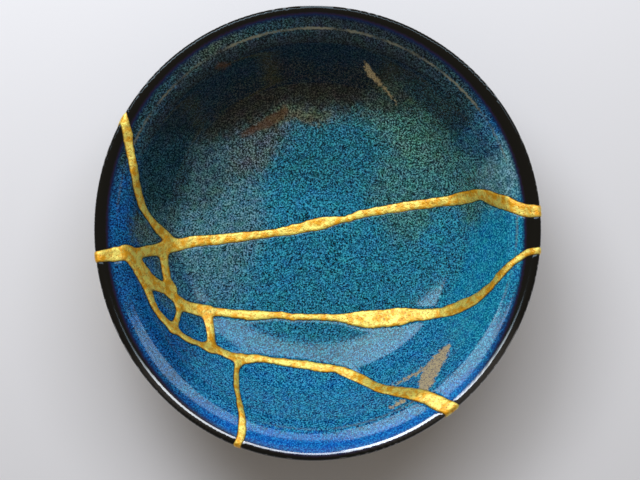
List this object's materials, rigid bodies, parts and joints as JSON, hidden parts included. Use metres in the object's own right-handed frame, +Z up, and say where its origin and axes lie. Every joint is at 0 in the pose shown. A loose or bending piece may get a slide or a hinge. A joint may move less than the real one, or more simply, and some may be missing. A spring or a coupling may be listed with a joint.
{
  "type": "kintsugi bowl",
  "caption": "Shallow stoneware bowl in a speckled blue glaze, broken and joined again with broad raised gold seams, standing on a small turned foot.",
  "frame": {"origin": "middle of the foot, on the surface that the bowl stands on", "axes": "+Z up along the bowl's axis, +X to the right along the long seam, -Y towards the front, where the seams meet the rim lowest; the small chips lie towards -X"},
  "size_m": [0.1579, 0.1615, 0.0434],
  "materials": {
    "glazed_stoneware": "glossy speckled glaze, blue over dark brown, nearly black at the lip",
    "gold_on_lacquer": "gold powder on lacquer, grainy, half gloss"
  },
  "bodies": {
    "root": {"back_shard": "glazed_stoneware", "middle_shard": "glazed_stoneware", "right_shard": "glazed_stoneware", "front_shard": "glazed_stoneware", "front_left_shard": "glazed_stoneware", "left_shard": "glazed_stoneware", "chip_shard_upper": "glazed_stoneware", "chip_shard_outer": "glazed_stoneware", "chip_shard_inner": "glazed_stoneware", "gold_seams": "gold_on_lacquer"}
  },
  "joints": []
}
